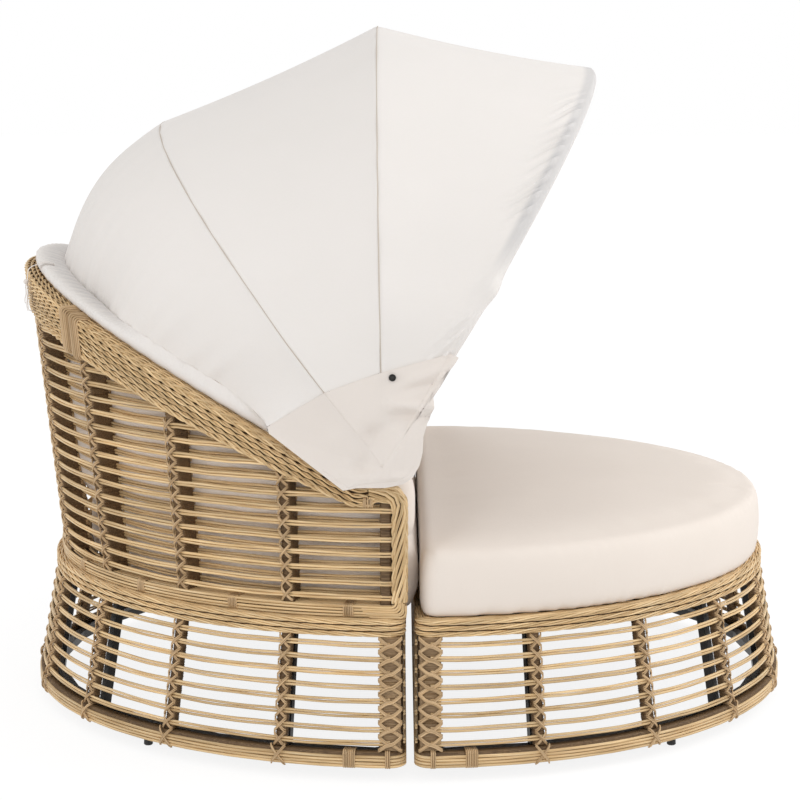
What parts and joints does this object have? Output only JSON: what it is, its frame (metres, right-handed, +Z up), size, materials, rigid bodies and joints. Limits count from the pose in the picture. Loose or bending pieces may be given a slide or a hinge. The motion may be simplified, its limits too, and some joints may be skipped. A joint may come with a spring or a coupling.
{
  "type": "outdoor daybed with canopy",
  "caption": "Oval woven outdoor daybed: a loveseat with cushions and a folding fabric canopy on bows, and a matching ottoman.",
  "frame": {"origin": "on the floor, at the middle of the whole set: the middle plane and the gap between the two units cross there", "axes": "+X towards the ottoman's foot end, with the back at -X, +Y towards the sitter's left, +Z up"},
  "size_m": [1.7688, 1.6392, 1.5362],
  "materials": {
    "wicker": "satin",
    "wicker_braid": "satin",
    "frame_metal": "satin",
    "glide_plastic": "matte",
    "cushion_fabric": "matte",
    "canopy_fabric": "matte"
  },
  "bodies": {
    "loveseat": {"seat_base_frame": "frame_metal", "seat_base_weave_right_front": "wicker", "seat_base_weave_right_rear": "wicker", "seat_base_weave_rear": "wicker", "seat_base_weave_left_rear": "wicker", "seat_base_weave_left_front": "wicker", "seat_base_weave_flat": "wicker", "seat_base_bottom_rim": "wicker_braid", "seat_base_top_braid": "wicker_braid", "seat_base_foot_outer_right": "glide_plastic", "seat_base_foot_outer_left": "glide_plastic", "seat_base_foot_inner_right": "glide_plastic", "seat_base_foot_inner_left": "glide_plastic", "seat_cushion": "cushion_fabric", "backrest_rail": "wicker_braid", "backrest_weave_right_front": "wicker", "backrest_weave_right_rear": "wicker", "backrest_weave_rear": "wicker", "backrest_weave_left_rear": "wicker", "backrest_weave_left_front": "wicker", "backrest_rim_rear": "wicker_braid", "backrest_rim_right": "wicker_braid", "backrest_rim_left": "wicker_braid", "back_cushion_rear": "cushion_fabric", "back_cushion_right": "cushion_fabric", "back_cushion_left": "cushion_fabric", "pivot_bracket_right": "frame_metal", "pivot_bracket_left": "frame_metal", "pivot_bolt_right": "frame_metal", "pivot_bolt_left": "frame_metal", "canopy_hem_rod": "frame_metal", "canopy_panel_rear": "canopy_fabric"},
    "rear_bow": {"canopy_bow_rear": "frame_metal", "canopy_panel_middle": "canopy_fabric"},
    "middle_bow": {"canopy_bow_middle": "frame_metal", "canopy_panel_front": "canopy_fabric", "canopy_flap_right": "canopy_fabric", "canopy_flap_left": "canopy_fabric"},
    "front_bow": {"canopy_bow_front": "frame_metal"},
    "ottoman": {"ottoman_frame": "frame_metal", "ottoman_weave_right_front": "wicker", "ottoman_weave_right_rear": "wicker", "ottoman_weave_rear": "wicker", "ottoman_weave_left_rear": "wicker", "ottoman_weave_left_front": "wicker", "ottoman_weave_flat": "wicker", "ottoman_bottom_rim": "wicker_braid", "ottoman_top_braid": "wicker_braid", "ottoman_foot_outer_right": "glide_plastic", "ottoman_foot_outer_left": "glide_plastic", "ottoman_foot_inner_right": "glide_plastic", "ottoman_foot_inner_left": "glide_plastic", "ottoman_cushion": "cushion_fabric"}
  },
  "joints": [
    {"name": "canopy_fold", "type": "hinge", "parent": "loveseat", "child": "rear_bow", "pos_m": [-0.056, 0, 0.66], "axis": [0, -1, 0], "range_deg": [0, 22.2], "deforming": ["canopy_panel_rear"]},
    {"name": "middle_bow_fold", "type": "hinge", "parent": "rear_bow", "child": "middle_bow", "pos_m": [-0.056, 0, 0.66], "axis": [0, -1, 0], "range_deg": [0, 33.2], "deforming": ["canopy_panel_middle", "canopy_flap_right", "canopy_flap_left"]},
    {"name": "front_bow_fold", "type": "hinge", "parent": "middle_bow", "child": "front_bow", "pos_m": [-0.056, 0, 0.66], "axis": [0, -1, 0], "range_deg": [0, 29], "deforming": ["canopy_panel_front"]},
    {"name": "ottoman_slide", "type": "slide", "parent": "loveseat", "child": "ottoman", "axis": [1, 0, 0], "range_m": [0, 0.6]}
  ],
  "couplings": [
    {"joint": "middle_bow_fold", "follows": "canopy_fold", "ratio": 1.495},
    {"joint": "front_bow_fold", "follows": "canopy_fold", "ratio": 1.306}
  ]
}
